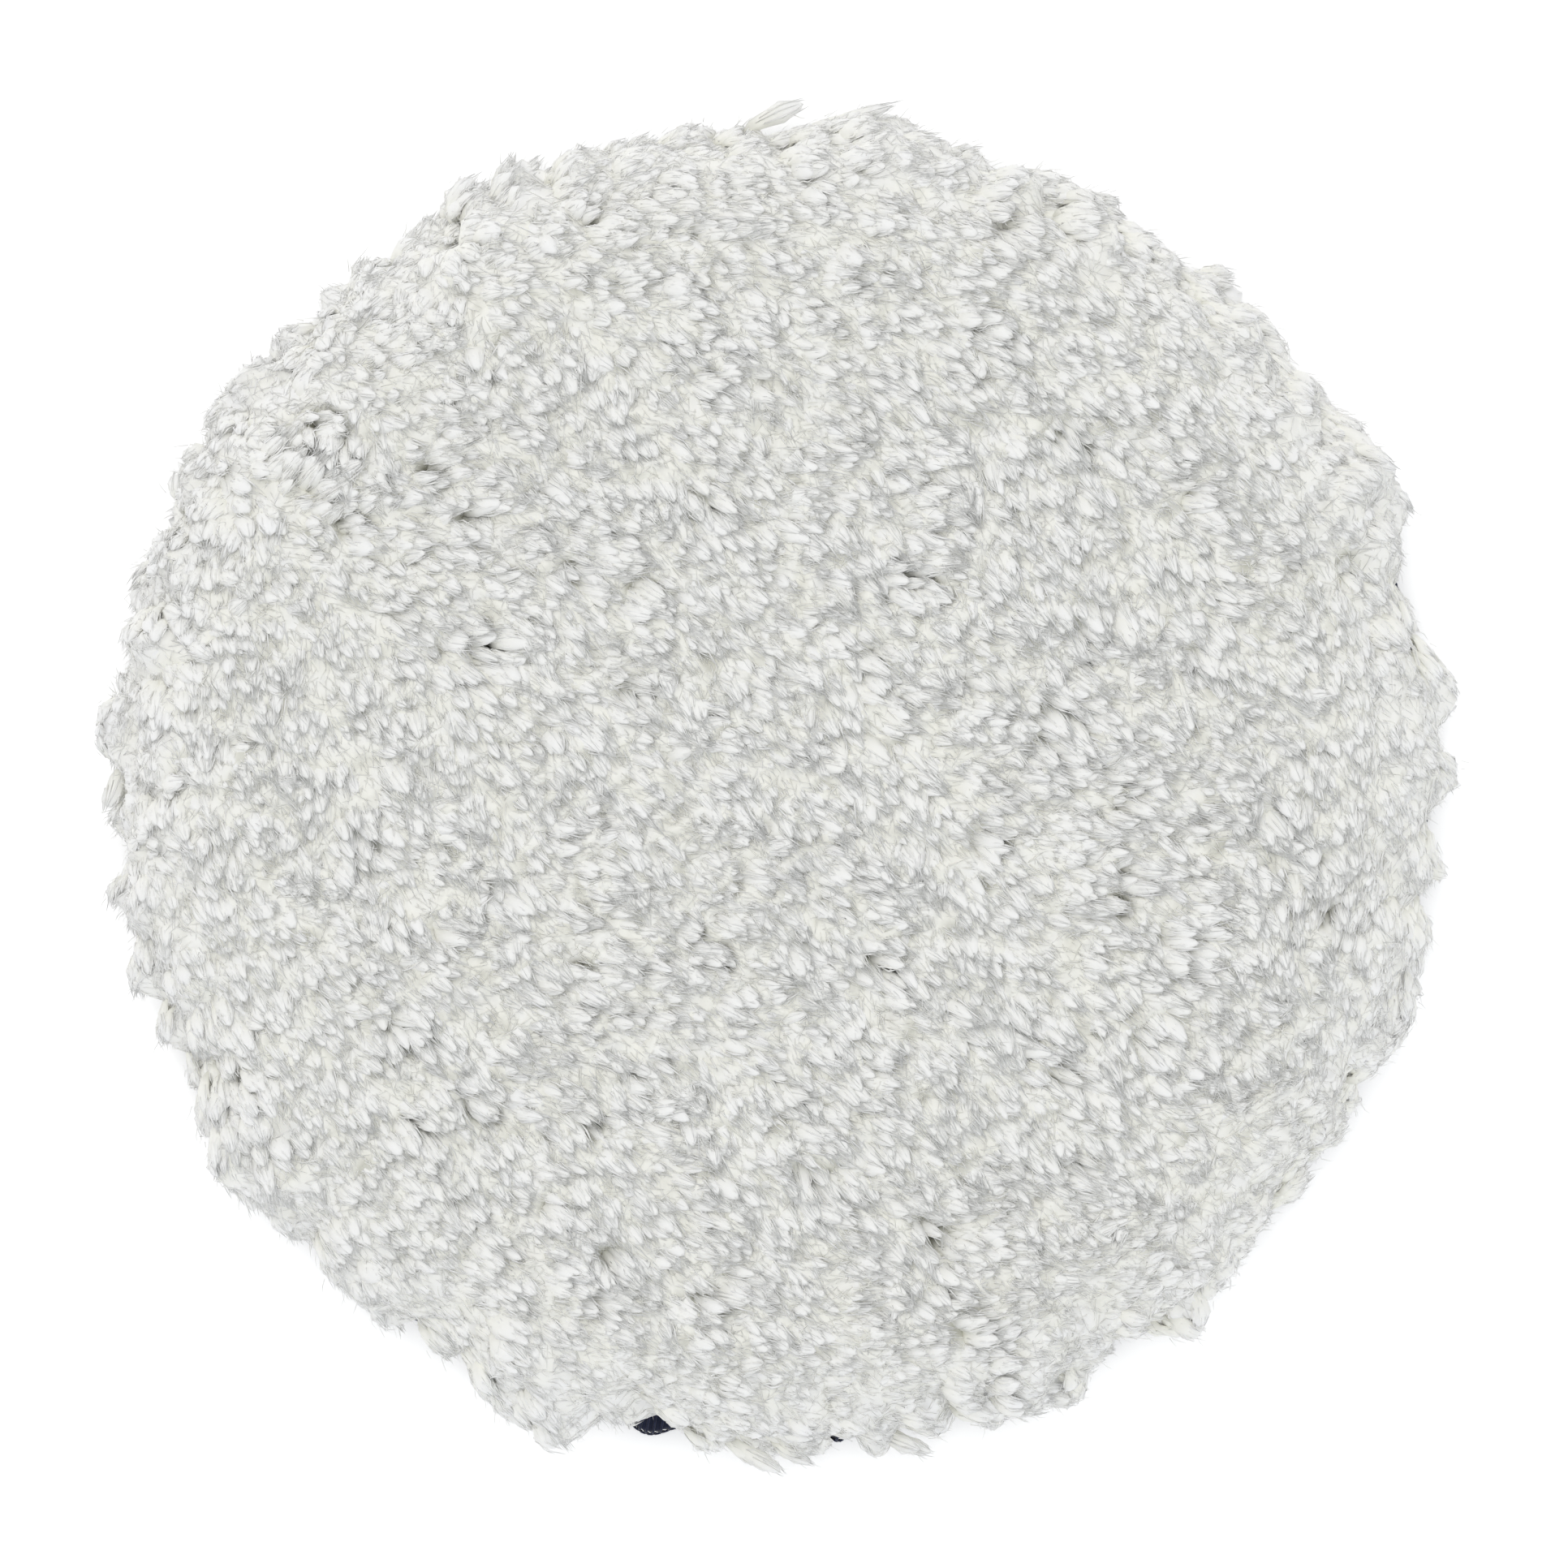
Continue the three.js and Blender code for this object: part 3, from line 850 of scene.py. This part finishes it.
def carrier_knit_mesh():
    """The carrier cloth: one disc pulled over the foam and gathered a little where it turns down."""
    segments = 360
    shoulder = np.linspace(FLAT_RADIUS, FLAT_RADIUS + CLOTH_TURN, 10)
    skirt = np.linspace(FLAT_RADIUS + CLOTH_TURN, CARRIER_REACH, 6)[1:]
    flat_part = np.linspace(0, FLAT_RADIUS, 40)[1:-1]
    flat = disc_points(np.concatenate([flat_part, shoulder, skirt]), segments)
    x, y = flat[:, 0], flat[:, 1]
    place, normal = turn_over(flat, FLAT_RADIUS, CLOTH_SHOULDER, CLOTH_SHOULDER, CLOTH_TOP)
    turned = ramp(np.hypot(x, y), FLAT_RADIUS - 2 * MM, FLAT_RADIUS + CLOTH_TURN)
    theta = np.arctan2(y, x)
    pucker = np.cos(60 * theta + 1.5 * np.sin(7 * theta)) + 0.5 * np.cos(23 * theta + 1.0)
    lift = -0.10 * MM + 0.07 * MM * turned * pucker + 0.03 * MM * smooth_noise(x, y, 6 * MM, 83)
    upper = place + normal * lift[:, None]
    lower = place + normal * (lift - CLOTH_THICKNESS + 0.15 * MM)[:, None]
    return shell_mesh(flat, upper, lower, segments, smooth_noise(x, y, 9 * MM, 84))


def foam_mesh():
    """The foam cushion: a crowned disc whose wall draws in at half height."""
    segments = 300
    radius, top = foam_high[0], foam_high[2]
    shoulder = FOAM_SHOULDER
    turn = shoulder * math.pi / 2
    wall = top - shoulder - foam_low[2]
    reach = radius - shoulder + turn + wall - 0.3 * MM
    face = np.linspace(0, radius - shoulder, 44)[1:-1]
    edge = np.linspace(radius - shoulder, radius - shoulder + turn, 9)
    side = np.linspace(radius - shoulder + turn, reach, 8)[1:]
    flat = disc_points(np.concatenate([face, edge, side]), segments)
    x, y = flat[:, 0], flat[:, 1]
    far = np.hypot(x, y)
    upper, normal = turn_over(flat, radius - shoulder, shoulder, shoulder, top)
    on_side = np.clip((far - (radius - shoulder)) / (reach - (radius - shoulder)), 0, 1)
    drawn_in = 0.35 * MM * np.sin(math.pi * on_side) ** 2
    crown = 0.25 * MM * ramp(far, 0, radius - shoulder) * (1 - ramp(on_side, 0, 0.4))
    dents = 0.07 * MM * smooth_noise(x, y, 12 * MM, 85) + 0.04 * MM * smooth_noise(x, y, 3.5 * MM, 86)
    upper = upper + normal * (dents - drawn_in - crown - 0.12 * MM)[:, None]
    seat = flat / reach * (radius - 0.4 * MM)
    seat_height = foam_low[2] + 0.05 * MM + 0.03 * MM * smooth_noise(x, y, 5 * MM, 87)
    lower = np.column_stack([seat, np.maximum(seat_height, foam_low[2])])
    return shell_mesh(flat, upper, lower, segments, smooth_noise(x, y, 10 * MM, 88))


def socket_values(shader, **values):
    for name, value in values.items():
        shader.inputs[name.replace("_", " ")].default_value = value


class Surface:
    """A Principled material, with short ways to add the nodes that pattern it."""

    def __init__(self, name, **values):
        self.material = bpy.data.materials.new(name)
        self.material.use_nodes = True
        self.tree = self.material.node_tree
        self.shader = self.tree.nodes["Principled BSDF"]
        socket_values(self.shader, **values)

    def node(self, kind, **values):
        made = self.tree.nodes.new(kind)
        socket_values(made, **values)
        return made

    def link(self, source, target):
        self.tree.links.new(source, target)

    def tone(self, low, high):
        """The mesh's tone attribute, from 0 at low to 1 at high."""
        source = self.node("ShaderNodeAttribute")
        source.attribute_name = "tone"
        return self.stretched(source.outputs["Fac"], low, high)

    def stretched(self, value, low, high, to_low=0.0, to_high=1.0):
        limits = {"From_Min": low, "From_Max": high, "To_Min": to_low, "To_Max": to_high}
        node = self.node("ShaderNodeMapRange", **limits)
        self.link(value, node.inputs["Value"])
        return node.outputs["Result"]

    def place(self, stretch=(1.0, 1.0, 1.0)):
        """Object coordinates in metres, stretched."""
        source = self.node("ShaderNodeTexCoord")
        scale = self.node("ShaderNodeMapping", Scale=stretch)
        self.link(source.outputs["Object"], scale.inputs["Vector"])
        return scale.outputs["Vector"]

    def noise(self, size, place, detail=3.0, roughness=0.6):
        """Noise with grains of about the given size in metres."""
        node = self.node("ShaderNodeTexNoise", Scale=1 / size, Detail=detail, Roughness=roughness)
        self.link(place, node.inputs["Vector"])
        return node.outputs["Fac"]

    def cells(self, size, place, feature="F1"):
        node = self.node("ShaderNodeTexVoronoi", Scale=1 / size)
        node.feature = feature
        self.link(place, node.inputs["Vector"])
        return node.outputs["Distance"]

    def wave(self, size, place, direction, distortion=0.0):
        """Bands the given distance apart across one axis."""
        node = self.node("ShaderNodeTexWave", Scale=TAU / 20 / size, Distortion=distortion)
        node.bands_direction = direction
        self.link(place, node.inputs["Vector"])
        return node.outputs["Fac"]

    def combined(self, first, second, operation):
        node = self.node("ShaderNodeMath")
        node.operation = operation
        self.link(first, node.inputs[0])
        if isinstance(second, float):
            node.inputs[1].default_value = second
        else:
            self.link(second, node.inputs[1])
        return node.outputs["Value"]

    def mixed(self, factor, first, second):
        """A colour between two, each a colour or another node's output."""
        node = self.node("ShaderNodeMix")
        node.data_type = "RGBA"
        self.link(factor, node.inputs["Factor"])
        colours = [socket for socket in node.inputs if socket.type == "RGBA"]
        for socket, colour in zip(colours, (first, second)):
            if isinstance(colour, tuple):
                socket.default_value = (*colour, 1)
            else:
                self.link(colour, socket)
        return [socket for socket in node.outputs if socket.type == "RGBA"][0]

    def colour(self, factor, first, second):
        self.link(self.mixed(factor, first, second), self.shader.inputs["Base Color"])

    def roughness(self, pattern, low, high):
        self.link(self.stretched(pattern, 0.25, 0.75, low, high), self.shader.inputs["Roughness"])

    def bump(self, height, distance, strength=1.0):
        node = self.node("ShaderNodeBump", Distance=distance, Strength=strength)
        self.link(height, node.inputs["Height"])
        self.link(node.outputs["Normal"], self.shader.inputs["Normal"])


def yarn_material():
    surface = Surface(
        "white_yarn", Specular_IOR_Level=0.2, Sheen_Weight=0.22, Sheen_Roughness=0.6
    )
    place = surface.place()
    grain = surface.noise(0.35 * MM, place, detail=2.0)
    # Low tone mixes towards the olive: painted shade deep in the pile, random tone elsewhere.
    yarn = surface.mixed(surface.tone(-2.5, 2.5), YARN_SHADE, YARN_LIGHT)
    # Tone below -2.6 turns dark olive: painted shade deep in the pile.
    depth = surface.mixed(surface.tone(-7.0, -2.6), YARN_DEPTH_SHADE, yarn)
    surface.colour(surface.stretched(grain, 0.3, 0.7, 0.0, 0.22), depth, YARN_SHADE)
    surface.roughness(grain, 0.84, 0.96)
    surface.bump(grain, 0.03 * MM, 0.5)
    return surface.material


def knit_material(name, dark, light, pitch):
    """A fine knitted cloth: wales one way, courses the other, and stray fibres over both."""
    surface = Surface(name, Specular_IOR_Level=0.2, Sheen_Weight=0.2, Sheen_Roughness=0.5)
    place = surface.place()
    wales = surface.wave(pitch, place, "X", 1.5)
    courses = surface.wave(pitch * 0.7, place, "Y", 1.5)
    weave = surface.combined(wales, courses, "MULTIPLY")
    fuzz = surface.noise(pitch * 0.3, surface.place((1.0, 0.35, 1.0)))
    height = surface.combined(weave, fuzz, "ADD")
    surface.colour(surface.stretched(height, 0.3, 1.3), dark, light)
    surface.roughness(fuzz, 0.8, 0.97)
    surface.bump(height, 0.08 * MM, 0.7)
    return surface.material


def felt_material(name, dark, light):
    """Brushed or plied navy yarn: streaky, with a soft sheen and a few pale fibres."""
    surface = Surface(name, Specular_IOR_Level=0.25, Sheen_Weight=0.25, Sheen_Roughness=0.45)
    place = surface.place()
    streaks = surface.noise(0.25 * MM, surface.place((1.0, 0.3, 0.6)), detail=4.0)
    wear = surface.noise(9 * MM, place, detail=2.0)
    shade = surface.combined(surface.tone(-3.0, 3.0), streaks, "MULTIPLY")
    worn = surface.combined(shade, surface.stretched(wear, 0.3, 0.8, 0.7, 1.35), "MULTIPLY")
    surface.colour(surface.stretched(worn, 0.05, 0.6), dark, light)
    surface.roughness(streaks, 0.62, 0.92)
    surface.bump(streaks, 0.05 * MM, 0.6)
    return surface.material


def foam_material():
    """Open-cell foam: rounded pores of two sizes, painted darker inside as painted shade."""
    surface = Surface("foam", Specular_IOR_Level=0.3, Sheen_Weight=0.1)
    place = surface.place()
    pores = surface.cells(0.55 * MM, place)
    coarse = surface.cells(1.3 * MM, place)
    open_cells = surface.stretched(coarse, 0.0, 0.5)
    # Painted shade: darker towards the middle of each pore.
    depth = surface.combined(surface.stretched(pores, 0.1, 0.55), open_cells, "MULTIPLY")
    surface.colour(depth, FOAM_PORE_SHADE, FOAM_LIGHT)
    surface.roughness(surface.noise(0.3 * MM, place), 0.85, 0.98)
    surface.bump(depth, 0.12 * MM, 0.8)
    return surface.material


def latex_material():
    """Brushed-on latex over the cloth's back: blotchy, with the knit telegraphing through."""
    surface = Surface("latex", Specular_IOR_Level=0.4, Coat_Weight=0.08, Coat_Roughness=0.4)
    place = surface.place()
    blotches = surface.noise(3.5 * MM, place, detail=5.0)
    wales = surface.wave(1.3 * MM, place, "X", 2.0)
    courses = surface.wave(0.9 * MM, place, "Y", 2.0)
    knit = surface.combined(wales, courses, "MULTIPLY")
    surface.colour(surface.stretched(blotches, 0.35, 0.65), LATEX_THIN, LATEX_THICK)
    surface.roughness(blotches, 0.45, 0.72)
    surface.bump(surface.combined(knit, blotches, "ADD"), 0.06 * MM, 0.6)
    return surface.material


def film_material():
    """Hot-melt web: random spun filaments fused into a milky film."""
    surface = Surface("hot_melt", Specular_IOR_Level=0.5)
    place = surface.place()
    filaments = surface.cells(2.2 * MM, place, "DISTANCE_TO_EDGE")
    fine = surface.cells(0.9 * MM, surface.place((0.4, 1.0, 1.0)), "DISTANCE_TO_EDGE")
    web = surface.combined(filaments, fine, "MINIMUM")
    lines = surface.stretched(web, 0.0, 0.09, 1.0, 0.0)
    surface.colour(lines, FILM_MILKY, FILM_STRAND)
    surface.roughness(surface.noise(1.2 * MM, place), 0.3, 0.55)
    surface.bump(lines, 0.08 * MM, 0.8)
    return surface.material


def build_pile(yarn):
    """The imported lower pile, and each kind of strand as a ring of pieces side by side."""
    curves, width, depth, side, tone, theta = tuft_curves()
    cores, core_tips = core_strands(curves, width, depth, side)
    bundles, bundle_tips, bundle_of = bundle_strands(curves, width, depth, side)
    strays, stray_tips, stray_of = stray_strands(curves, width, side)
    fuzz, fuzz_tips, fuzz_theta, fuzz_tone = fuzz_strands()
    rng = np.random.default_rng(14)
    bundle_tone = tone[bundle_of] * 0.6 + rng.normal(0.3, 0.5, len(bundle_of))
    stray_tone = rng.uniform(0, 2, len(stray_of))
    no_depth_shade = np.zeros(2)
    pieces = [add_piece("pile_base", pile_base_mesh(), yarn, ["pile"])]
    # Cores and yarn ends carry painted shade along their length; the fine fibres carry none.
    for kind, rings, tips, shade, depth_shade, heading in (
        ("tufts", cores, core_tips, tone, CORE_DEPTH_SHADE, theta),
        ("yarn_ends", bundles, bundle_tips, bundle_tone, END_DEPTH_SHADE, theta[bundle_of]),
        ("stray_fibres", strays, stray_tips, stray_tone, no_depth_shade, theta[stray_of]),
        ("lying_fibres", fuzz, fuzz_tips, fuzz_tone, no_depth_shade, fuzz_theta),
    ):
        sector = np.floor((heading % TAU) / TAU * SECTORS[kind]).astype(int)
        for i in range(SECTORS[kind]):
            mine = sector == i
            name = f"{kind}_{i + 1}"
            mesh = strands_mesh(rings[mine], tips[mine], shade[mine], depth_shade)
            pieces.append(add_piece(name, mesh, yarn, ["pile"]))
    return pieces


def build_backing(pile_pieces):
    """The cloths, foam, loops, stitches and bound edge."""
    ground = knit_material("ground_cloth", CLOTH_SHADE, CLOTH_LIGHT, 1.2 * MM)
    navy_knit = knit_material("navy_knit", KNIT_SHADE, KNIT_LIGHT, 0.9 * MM)
    navy_felt = felt_material("navy_felt", FELT_SHADE, FELT_LIGHT)
    navy_thread = felt_material("navy_thread", THREAD_SHADE, THREAD_LIGHT)

    carrier = add_piece("carrier_knit", carrier_knit_mesh(), ground, ["carrier_cloth"])
    foam = add_piece("foam_pad", foam_mesh(), foam_material(), ["foam_cushion"])
    base = add_piece("loop_base_knit", base_knit_mesh(), navy_knit, ["loop_base_cloth"])
    felt = add_piece("loop_felt", nap_felt_mesh(), navy_felt, ["loop_nap"])
    rings, root, tone = nap_loops()
    quarter = np.floor((np.arctan2(root[:, 1], root[:, 0]) % TAU) / TAU * 4).astype(int)
    for i in range(4):
        mine = quarter == i
        mesh = tubes_mesh(rings[mine], tone[mine])
        add_piece(f"loops_{i + 1}", mesh, navy_felt, ["loop_nap"])
    rings, tone = lock_stitches()
    stitches = tubes_mesh(rings, tone)
    add_piece("lock_stitches", stitches, navy_thread, ["lock_stitch"])
    add_piece("binding_core", binding_core_mesh(), navy_thread, ["edge_binding"])
    add_piece("binding_thread", binding_thread_mesh(), navy_thread, ["edge_binding"])
    add_piece("binding_purl", binding_purl_mesh(), navy_thread, ["edge_binding"])
    for node, material in (
        ("latex_back_coat", latex_material()),
        ("upper_adhesive_film", film_material()),
        ("lower_adhesive_film", film_material()),
    ):
        for slot in bpy.data.objects[node].material_slots:
            slot.material = material


def add_area_light(name, place, size, power, colour):
    """A round lamp that shines at the pad."""
    light = bpy.data.lights.new(name, "AREA")
    light.shape = "DISK"
    light.size = size
    light.energy = power
    light.color = colour
    lamp = bpy.data.objects.new(name, light)
    bpy.context.scene.collection.objects.link(lamp)
    lamp.location = place
    lamp.rotation_mode = "QUATERNION"
    lamp.rotation_quaternion = (-Vector(place)).to_track_quat("-Z", "Y")


FLOOR_SIZE = 6
SKY_STRENGTH = 0.62  # overhead
HORIZON_STRENGTH = 1.05
HORIZON_TOP = 0.35  # sine of the elevation where the horizon's brighter band has faded out


def build_floor():
    """A white floor, lit a little from within so that it stays plain."""
    bpy.ops.mesh.primitive_plane_add(size=FLOOR_SIZE)
    floor = bpy.context.active_object
    floor.name = "floor"
    material = bpy.data.materials.new("floor")
    material.use_nodes = True
    shader = material.node_tree.nodes["Principled BSDF"]
    shader.inputs["Base Color"].default_value = (0.95, 0.95, 0.95, 1)
    shader.inputs["Roughness"].default_value = 0.9
    shader.inputs["Emission Color"].default_value = (1, 1, 1, 1)
    shader.inputs["Emission Strength"].default_value = 0.3
    floor.data.materials.append(material)


def build_light():
    """An even sky, brighter towards the horizon, and three lamps."""
    world = bpy.data.worlds.new("studio")
    bpy.context.scene.world = world
    world.use_nodes = True
    nodes, links = world.node_tree.nodes, world.node_tree.links
    background = nodes["Background"]
    background.inputs["Color"].default_value = (0.98, 0.985, 0.995, 1)
    height = nodes.new("ShaderNodeSeparateXYZ")
    links.new(nodes.new("ShaderNodeTexCoord").outputs["Generated"], height.inputs["Vector"])
    fall = nodes.new("ShaderNodeMapRange")
    fall.interpolation_type = "SMOOTHSTEP"
    socket_values(fall, From_Max=HORIZON_TOP, To_Min=HORIZON_STRENGTH, To_Max=SKY_STRENGTH)
    links.new(height.outputs["Z"], fall.inputs["Value"])
    links.new(fall.outputs["Result"], background.inputs["Strength"])
    add_area_light("overhead", (0, 0.1, 1.2), 0.6, 2.6, (1.0, 1.0, 0.99))
    add_area_light("key", (-0.3, 0.55, 0.9), 0.5, 1.4, (1.0, 0.99, 0.965))
    add_area_light("fill", (0.3, -0.6, 0.7), 0.6, 0.75, (0.82, 0.92, 1.0))

    scene = bpy.context.scene
    scene.view_settings.view_transform = "Standard"
    scene.view_settings.look = "None"


FRAME_WIDTH = 192.2 * MM  # what the square picture spans at the pile's widest
LENS = 100
PILE_WIDEST = 14 * MM  # the height that the pile is widest at


def build_camera():
    data = bpy.data.cameras.new("camera")
    data.lens = LENS
    data.sensor_width = 36
    camera = bpy.data.objects.new("camera", data)
    bpy.context.scene.collection.objects.link(camera)
    bpy.context.scene.camera = camera
    camera.location = (0.35 * MM, 0.1 * MM, PILE_WIDEST + FRAME_WIDTH * LENS / data.sensor_width)


build_camera()
build_floor()
build_light()
build_backing(build_pile(yarn_material()))
